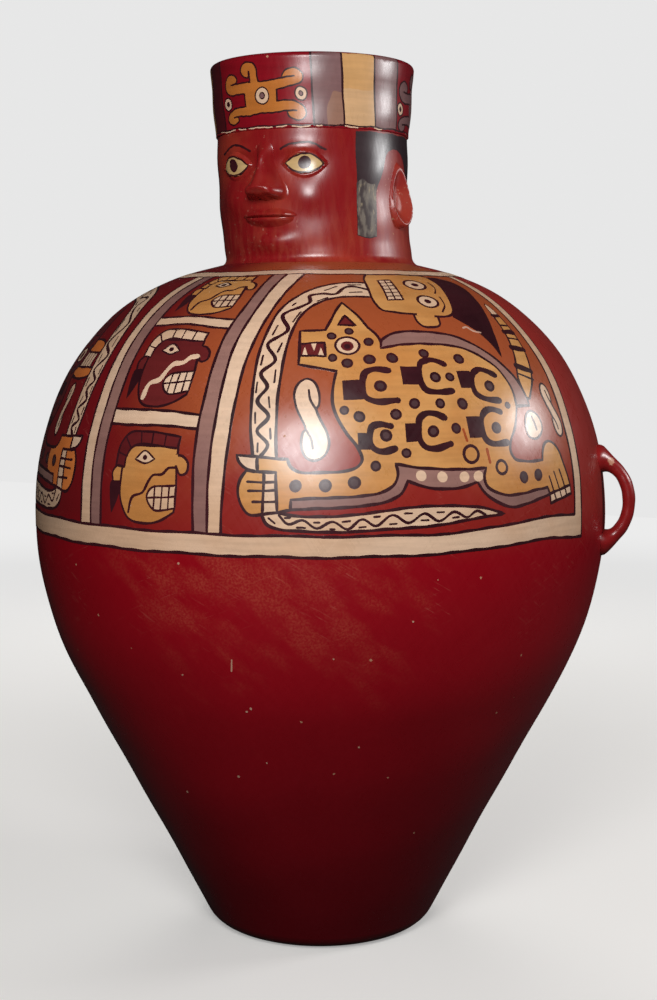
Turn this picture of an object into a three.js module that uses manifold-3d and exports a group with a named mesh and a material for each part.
// A large burnished earthenware jar whose neck is a head with a headdress.
// Millimetres, +Z up. The origin is the centre of the base, and the face looks along -Y.
import * as THREE from 'three';
import { mergeVertices } from 'three/addons/utils/BufferGeometryUtils.js';
import Module from 'manifold-3d';

const wasm = await Module();
wasm.setup();

// Clay thickness, and the film of slip that lutes one member to the next
const wallThickness = 9;
const baseThickness = 14;
const neckThickness = 8;
const slipGap = 0.3;
const courseLap = 12; // rise of a course's inner edge past its outer edge
const neckLap = 7;

// Body outline
const baseFlatRadius = 78.3;
const baseCornerRadius = 22;
const bellyRadius = 238;
const bellyHeight = 356;
const bellyCurveRadius = 303; // of the lower half, in section
const shoulderRise = 198; // from the widest line to the start of the neck seat
const shoulderFullness = 79; // upright pull of the shoulder curve at the belly
const crownFullness = 107; // level pull of the shoulder curve at the neck seat
const seatRadius = 97; // where the dome turns into the straight neck seat
const seatSlope = THREE.MathUtils.degToRad(14);

// Courses of the wall, by the heights that each one adds
const bellySeamDrop = 9; // the seam of the two halves lies just under the widest line
const bellyCourseHeight = 160;
const shoulderCourseHeight = 118;

// Neck and headdress
const neckRadius = 77.7;
const neckTopRadius = 78.8;
const footFlare = 6;
const footFlareHeight = 6.5;
const footEdge = 1.2;
const faceHeight = 102.8;
const headdressHeight = 58.4;
const headdressLedge = 1; // how far the band's lower edge stands proud of the brow
const rimRadius = 84;
const rimThickness = 8;
const neckLean = new THREE.Vector2(-5.8, -3.1); // sideways shift of the rim from the jar's axis
const neckSettle = 4; // a higher power gains more of that shift low on the neck

// Face, on even thirds from brow to nose base to chin
const browDrop = 14; // from the headdress to the brow line
const faceThird = 40;
const featureRoot = 10; // how deep an applied feature starts inside the neck before it is cut
const eyeWidth = 31;
const eyeHeight = 15;
const eyeSpacing = 62;
const eyeDrop = 13; // from the brow line to the eye line
const eyeBulge = 4.2;
const lidWidth = 2.4;
const lidProud = 2.2;
const socketFloor = 1; // clay left under the eye's almond
const socketGroove = 0.5; // between the almond and its lid
const domeShare = 0.8; // half axes of the eye's dome, as a share of the almond
const noseBridgeWidth = 12;
const noseWingWidth = 30;
const noseBridgeDepth = 5;
const noseTipDepth = 19;
const noseBaseDepth = 11;
const noseTipShare = 0.8; // how far down the nose its tip stands out most
const noseFlare = [0.2, 0.9]; // shares down the nose between which it widens to its wings
const noseSharpness = 1.3; // of the ridge in section, more than 1 is sharper
const mouthWidth = 48;
const mouthDrop = 14; // from the nose base to the line between the lips
const upperLipHeight = 6;
const lowerLipHeight = 7;
const lipDepth = 4.5;
const lipTip = 0.22; // share of the lip's section left at its corners
const earHeight = 53;
const earWidth = 22;
const earThickness = 6;
const earRound = 2;
const earWidestShare = 0.36; // height of the ear's widest line, as a share of the ear
const earDrop = 42.4; // from the brow line to that widest line
const earTilt = THREE.MathUtils.degToRad(5.7); // the lobe stands out more than the top
const earFlare = THREE.MathUtils.degToRad(18); // and the back edge more than the front
const earHollow = 3.5;
const earHollowShare = 0.6; // of the ear's width and height
const earAzimuth = THREE.MathUtils.degToRad(92);

// Loop handles
const handleAzimuth = THREE.MathUtils.degToRad(104);
const handleHeight = 366;
const handleSpan = 66; // between the middles of its two roots
const handleReach = 25.3; // from the belly wall to the outside of the loop
const handleThickness = 10.2;
const handleWidth = 13;
const handleRootFlare = 0.8; // share that the roll thickens by at its roots
const handleRootSharpness = 4; // a higher power keeps that flare nearer the roots
const handleRootDepth = 8;

// Facets
const facets = 64;
const cornerSteps = 5;
const footSteps = 4;
const neckSteps = 5;
const rimSteps = 6;

const upright = new THREE.Vector3(0, 0, 1);

// The outer wall in section, from the middle of the base to the edge of the neck opening.
// The lower wall is the common tangent of the base corner and the belly curve.
const boreRadius = neckRadius - neckThickness;
const seatHeight = bellyHeight + shoulderRise;
const cornerCentre = new THREE.Vector2(baseFlatRadius, baseCornerRadius);
const bellyCentre = new THREE.Vector2(bellyRadius - bellyCurveRadius, bellyHeight);
const centreLine = bellyCentre.clone().sub(cornerCentre);
const wallTilt = centreLine.angle()
  - Math.acos((baseCornerRadius - bellyCurveRadius) / centreLine.length());

const wall = new THREE.Path();
wall.moveTo(0, 0);
wall.lineTo(baseFlatRadius, 0);
wall.absarc(cornerCentre.x, cornerCentre.y, baseCornerRadius, -Math.PI / 2, wallTilt, false);
wall.absarc(bellyCentre.x, bellyCentre.y, bellyCurveRadius, wallTilt, 0, false);
wall.bezierCurveTo(
  bellyRadius, bellyHeight + shoulderFullness,
  seatRadius + crownFullness * Math.cos(seatSlope), seatHeight - crownFullness * Math.sin(seatSlope),
  seatRadius, seatHeight,
);
wall.lineTo(boreRadius, seatZ(boreRadius));
const wallLength = wall.getLength();
const cornerEnd = baseFlatRadius + baseCornerRadius * (wallTilt + Math.PI / 2);

// Height of the neck seat at a radius
function seatZ(radius) {
  return seatHeight + (seatRadius - radius) * Math.tan(seatSlope);
}

// A point of the wall at a distance along it, moved outwards by an offset
function wallPoint(along, offset) {
  const share = along / wallLength;
  const direction = wall.getTangent(share);
  return wall.getPoint(share).add(new THREE.Vector2(direction.y, -direction.x).multiplyScalar(offset));
}

// The distance along the wall at which it reaches a height
function alongAt(height) {
  let low = baseFlatRadius;
  let high = wallLength;
  while (high - low > slipGap / 100) {
    const middle = (low + high) / 2;
    if (wallPoint(middle, 0).y < height) low = middle;
    else high = middle;
  }
  return low;
}

// The wall is thick under the base and thins through the corner
function thicknessAt(along) {
  const thinned = THREE.MathUtils.smoothstep(along, baseFlatRadius, cornerEnd);
  return THREE.MathUtils.lerp(baseThickness, wallThickness, thinned);
}

function evenSteps(from, to, steps) {
  return Array.from({ length: steps + 1 }, (_, i) => THREE.MathUtils.lerp(from, to, i / steps));
}

// A closed section turned about the jar's axis, with its first point facing -Y
function turned(section) {
  return new THREE.LatheGeometry([...section, section[0]], facets).rotateX(Math.PI / 2);
}

// A skin through rings of points, each counter-clockwise about the way the rings go, closed at both ends
function loft(rings) {
  const sides = rings[0].length;
  const last = rings.length - 1;
  const middleOf = (ring) => ring.reduce((sum, p) => sum.add(p), new THREE.Vector3()).divideScalar(sides);
  const points = [...rings.flat(), middleOf(rings[0]), middleOf(rings[last])];
  const startMiddle = points.length - 2;
  const endMiddle = points.length - 1;
  const corners = [];
  for (let j = 0; j < sides; j += 1) {
    const k = (j + 1) % sides;
    for (let i = 0; i < last; i += 1) {
      const near = i * sides;
      const far = near + sides;
      corners.push(near + j, near + k, far + j, near + k, far + k, far + j);
    }
    corners.push(startMiddle, k, j, endMiddle, last * sides + j, last * sides + k);
  }
  return new THREE.BufferGeometry().setFromPoints(points).setIndex(corners);
}

// A geometry as a solid that can be joined and cut
function solid(geometry) {
  const bare = geometry.clone();
  bare.deleteAttribute('normal');
  bare.deleteAttribute('uv');
  const merged = mergeVertices(bare, slipGap / 1000);
  const corners = merged.index.array;
  const triVerts = [];
  for (let i = 0; i < corners.length; i += 3) {
    const [a, b, c] = corners.slice(i, i + 3);
    if (a !== b && b !== c && c !== a) triVerts.push(a, b, c);
  }
  const vertProperties = Float32Array.from(merged.attributes.position.array);
  return new wasm.Manifold(new wasm.Mesh({ numProp: 3, vertProperties, triVerts: Uint32Array.from(triVerts) }));
}

function geometryOf(cutSolid) {
  const mesh = cutSolid.getMesh();
  const geometry = new THREE.BufferGeometry();
  geometry.setAttribute('position', new THREE.BufferAttribute(mesh.vertProperties, 3));
  return geometry.setIndex(new THREE.BufferAttribute(mesh.triVerts, 1));
}

// The soft neck settled to one side: it leaves its seat on a slant and straightens as it rises
function settled(geometry) {
  const points = geometry.attributes.position;
  for (let i = 0; i < points.count; i += 1) {
    const risen = (points.getZ(i) - seatZ(neckRadius)) / (faceHeight + headdressHeight);
    const share = 1 - (1 - THREE.MathUtils.clamp(risen, 0, 1)) ** neckSettle;
    points.setXY(i, points.getX(i) + share * neckLean.x, points.getY(i) + share * neckLean.y);
  }
  return geometry;
}

const jar = new THREE.Group();
const body = new THREE.Group();
const head = new THREE.Group();
jar.add(body, head);

function addPiece(group, name, geometry, color, roughness) {
  const material = new THREE.MeshStandardMaterial({ color, roughness, metalness: 0 });
  const piece = new THREE.Mesh(geometry, material);
  piece.name = name;
  group.add(piece);
}

const redSlip = 0x8c1e16;
const orangeSlip = 0xa4402a;
const creamSlip = 0xdcb98c;
const burnished = 0.32;
const brushed = 0.5;

// Wall courses. Each ends in a bevel that its inner edge climbs, and the next one sits on it.
const seamShift = slipGap * Math.hypot(courseLap, wallThickness) / wallThickness;
const bellySeam = bellyHeight - bellySeamDrop;
const seams = [
  cornerEnd,
  alongAt(bellySeam - bellyCourseHeight),
  alongAt(bellySeam),
  alongAt(bellySeam + shoulderCourseHeight),
];
const courses = [
  { name: 'lower_course', from: seams[0] + seamShift, to: seams[1], steps: 2, color: redSlip },
  { name: 'belly_course', from: seams[1] + seamShift, to: seams[2], steps: 5, color: redSlip },
  { name: 'shoulder_course', from: seams[2] + seamShift, to: seams[3], steps: 5, color: orangeSlip },
  { name: 'crown_course', from: seams[3] + seamShift, to: wallLength, steps: 6, color: orangeSlip },
];

function innerPoint(along) {
  return wallPoint(along, -thicknessAt(along));
}

const dishOutside = [0, ...evenSteps(baseFlatRadius, cornerEnd, cornerSteps)];
const dishInside = [...evenSteps(cornerEnd + courseLap, baseFlatRadius, cornerSteps), 0];
addPiece(body, 'base_dish', new THREE.LatheGeometry(
  [...dishOutside.map((along) => wallPoint(along, 0)), ...dishInside.map(innerPoint)],
  facets,
).rotateX(Math.PI / 2), redSlip, burnished);

for (const course of courses) {
  const lap = course.to < wallLength ? courseLap : 0;
  course.stations = evenSteps(course.from, course.to, course.steps);
  const inside = evenSteps(course.to + lap, course.from + courseLap, course.steps);
  const section = [...course.stations.map((along) => wallPoint(along, 0)), ...inside.map(innerPoint)];
  addPiece(body, course.name, turned(section), course.color, burnished);
}

// Neck: a straight cylinder that flares into a small foot, luted on the cone round the opening
const seatLift = slipGap / Math.cos(seatSlope);
const footRadius = neckRadius + footFlare;
const footHeight = seatZ(footRadius) + seatLift + footEdge;
const neckBase = footHeight + footFlareHeight;
const faceTop = seatZ(neckRadius) + faceHeight;
const footCurve = evenSteps(0, Math.PI / 2, footSteps).map((turn) => new THREE.Vector2(
  footRadius - footFlare * Math.sin(turn),
  footHeight + footFlareHeight * (1 - Math.cos(turn)),
));
const faceRows = evenSteps(0, 1, neckSteps).slice(1).map((share) => new THREE.Vector2(
  THREE.MathUtils.lerp(neckRadius, neckTopRadius, share),
  THREE.MathUtils.lerp(neckBase, faceTop, share),
));
const boreRows = evenSteps(faceTop + neckLap, seatZ(boreRadius) + seatLift, neckSteps)
  .map((height) => new THREE.Vector2(boreRadius, height));
addPiece(head, 'neck_wall', settled(turned([
  new THREE.Vector2(footRadius, seatZ(footRadius) + seatLift),
  ...footCurve,
  ...faceRows,
  ...boreRows,
])), orangeSlip, burnished);

// Headdress: a flared band with a round rim, which hangs over the brow as a small ledge
const neckTopWall = neckTopRadius - boreRadius;
const bandLift = slipGap * Math.hypot(neckLap, neckTopWall) / neckTopWall;
const rimTop = faceTop + headdressHeight;
const rimCentre = new THREE.Vector2(rimRadius - rimThickness / 2, rimTop - rimThickness / 2);
const rimCurve = evenSteps(0, Math.PI, rimSteps).map((turn) => new THREE.Vector2(
  rimCentre.x + rimThickness / 2 * Math.cos(turn),
  rimCentre.y + rimThickness / 2 * Math.sin(turn),
));
addPiece(head, 'headdress_band', settled(turned([
  new THREE.Vector2(neckTopRadius + headdressLedge, faceTop + bandLift),
  ...rimCurve,
  new THREE.Vector2(boreRadius, faceTop + neckLap + bandLift),
  new THREE.Vector2(neckTopRadius, faceTop + bandLift),
])), redSlip, brushed);

// The space that the neck fills, grown outwards
function neckSpace(growth) {
  return turned([
    new THREE.Vector2(0, neckBase),
    new THREE.Vector2(neckRadius + growth, neckBase),
    ...faceRows.map((row) => new THREE.Vector2(row.x + growth, row.y)),
    new THREE.Vector2(0, faceTop),
  ]);
}

// Applied features settle with the neck and are cut to it
const settledNeck = solid(settled(neckSpace(slipGap)));
function addFeature(name, feature, color) {
  const seated = solid(settled(geometryOf(feature))).subtract(settledNeck);
  addPiece(head, name, geometryOf(seated), color, burnished);
}

// Sets a geometry whose +Z looks out of the neck at an azimuth from the front and a height.
// Its +Y stays upright, and it starts from a given radius.
function setOnNeck(geometry, azimuth, radius, height) {
  return geometry
    .rotateX(Math.PI / 2)
    .translate(0, -radius, height)
    .rotateZ(azimuth);
}

const browHeight = faceTop - browDrop;
const noseBase = browHeight - faceThird;

// Nose: level sections from bridge to base, each a ridge with soft sides
const noseSections = 8;
const noseSides = 10;
const noseRings = evenSteps(0, 1, noseSections).map((down) => {
  const widening = THREE.MathUtils.smoothstep(down, ...noseFlare);
  const halfWidth = THREE.MathUtils.lerp(noseBridgeWidth, noseWingWidth, widening) / 2;
  const depth = down < noseTipShare
    ? THREE.MathUtils.lerp(noseBridgeDepth, noseTipDepth, down / noseTipShare)
    : THREE.MathUtils.lerp(noseTipDepth, noseBaseDepth, (down - noseTipShare) / (1 - noseTipShare));
  const ridge = evenSteps(-1, 1, noseSides).map((across) => new THREE.Vector3(
    halfWidth * Math.sin(across * Math.PI / 2),
    -neckRadius - depth * Math.cos(across * Math.PI / 2) ** noseSharpness,
    browHeight - down * faceThird,
  ));
  const back = [1, -1].map((side) => new THREE.Vector3(
    side * halfWidth,
    -neckRadius + featureRoot,
    browHeight - down * faceThird,
  ));
  return [...ridge, ...back].reverse();
});
addFeature('nose', solid(loft(noseRings)), orangeSlip);

// Lips: two rolls along the neck that taper to the corners of the mouth
const lipSteps = 14;
const lipSides = 10;
function lipRoll(height, side) {
  const rings = evenSteps(-1, 1, lipSteps).map((along) => {
    const swell = Math.max(lipTip, Math.sqrt(1 - along * along));
    const azimuth = along * mouthWidth / 2 / neckRadius;
    const middle = noseBase - mouthDrop + side * (slipGap + height * swell) / 2;
    return evenSteps(0, 2 * Math.PI, lipSides).slice(0, lipSides).map((turn) => new THREE.Vector3(
      0,
      -neckRadius - lipDepth * swell * Math.cos(turn),
      middle + height * swell * Math.sin(turn) / 2,
    ).applyAxisAngle(upright, azimuth));
  });
  return solid(loft(rings.map((ring) => ring.reverse())));
}
addFeature('upper_lip', lipRoll(upperLipHeight, 1), orangeSlip);
addFeature('lower_lip', lipRoll(lowerLipHeight, -1), orangeSlip);

// Eyes: a domed almond inside a raised lid, pressed on the neck at each side of the nose
function almond(width, height) {
  const shape = new THREE.Shape();
  shape.moveTo(-width / 2, 0);
  shape.quadraticCurveTo(0, -height, width / 2, 0);
  shape.quadraticCurveTo(0, height, -width / 2, 0);
  return shape;
}
function eyeBody(azimuth) {
  const set = (geometry) => solid(
    setOnNeck(geometry, azimuth, neckRadius - featureRoot, browHeight - eyeDrop),
  );
  const column = (margin) => set(new THREE.ExtrudeGeometry(
    almond(eyeWidth + 2 * margin, eyeHeight + 2 * margin),
    { depth: 2 * featureRoot, bevelEnabled: false, curveSegments: 8 },
  ));
  const dome = set(new THREE.SphereGeometry(1, 24, 16)
    .scale(eyeWidth * domeShare, eyeHeight * domeShare, featureRoot + eyeBulge));
  const lid = column(lidWidth).intersect(solid(neckSpace(lidProud)));
  const socket = column(0).subtract(solid(neckSpace(socketFloor)));
  return lid.subtract(socket).add(dome.intersect(column(-socketGroove)));
}
const eyeAzimuth = Math.asin(eyeSpacing / 2 / neckRadius);
addFeature('left_eye', eyeBody(eyeAzimuth), creamSlip);
addFeature('right_eye', eyeBody(-eyeAzimuth), creamSlip);

// Ears: an egg-shaped leaf with a hollow, upright on the side of the head, narrow end up
const earOutline = new THREE.Shape()
  .absellipse(0, 0, earWidth / 2, earHeight * (1 - earWidestShare), 0, Math.PI)
  .absellipse(0, 0, earWidth / 2, earHeight * earWidestShare, Math.PI, 2 * Math.PI);
const earLeaf = new THREE.ExtrudeGeometry(earOutline, {
  depth: featureRoot + earThickness - earRound,
  bevelThickness: earRound, bevelSize: earRound, bevelOffset: -earRound, bevelSegments: 2, curveSegments: 5,
});
const earBowl = new THREE.SphereGeometry(1, 16, 10)
  .scale(earWidth / 2 * earHollowShare, earHeight / 2 * earHollowShare, earHollow)
  .translate(0, earHeight / 2 - earHeight * earWidestShare, featureRoot + earThickness);
const earBody = solid(earLeaf).subtract(solid(earBowl));
for (const [name, side] of [['left_ear', 1], ['right_ear', -1]]) {
  const lifted = geometryOf(earBody).rotateX(-earTilt).rotateY(-side * earFlare);
  const ear = setOnNeck(lifted, side * earAzimuth, neckRadius - featureRoot, browHeight - earDrop);
  addFeature(name, solid(ear), orangeSlip);
}

// Loop handles: a pulled roll bent into a bow, with its two roots spread on the belly
const wallSpace = solid(turned([
  new THREE.Vector2(0, wallPoint(courses[0].from, 0).y),
  ...courses.flatMap((course) => course.stations).map((along) => wallPoint(along, slipGap)),
  new THREE.Vector2(0, seatZ(boreRadius)),
]));
const handleSteps = 18;
const handleSides = 12;
const bowReach = handleReach - handleThickness / 2;
const bowPull = (4 * bowReach + handleRootDepth) / 3; // puts the middle of the bow at its reach
const bow = new THREE.CubicBezierCurve3(
  new THREE.Vector3(bellyRadius - handleRootDepth, 0, -handleSpan / 2),
  new THREE.Vector3(bellyRadius + bowPull, 0, -handleSpan / 2),
  new THREE.Vector3(bellyRadius + bowPull, 0, handleSpan / 2),
  new THREE.Vector3(bellyRadius - handleRootDepth, 0, handleSpan / 2),
);
const sideways = new THREE.Vector3(0, 1, 0);
const handleRings = evenSteps(0, 1, handleSteps).map((share) => {
  const middle = bow.getPoint(share);
  const outwards = new THREE.Vector3().crossVectors(sideways, bow.getTangent(share));
  const flare = 1 + handleRootFlare * Math.abs(2 * share - 1) ** handleRootSharpness;
  return evenSteps(0, 2 * Math.PI, handleSides).slice(0, handleSides).map((turn) => middle.clone()
    .addScaledVector(outwards, flare * handleThickness / 2 * Math.cos(turn))
    .addScaledVector(sideways, flare * handleWidth / 2 * Math.sin(turn)));
});
for (const [name, side] of [['left_handle', 1], ['right_handle', -1]]) {
  const handle = loft(handleRings)
    .translate(0, 0, handleHeight)
    .rotateZ(side * handleAzimuth - Math.PI / 2);
  addPiece(body, name, geometryOf(solid(handle).subtract(wallSpace)), redSlip, burnished);
}

export default jar;
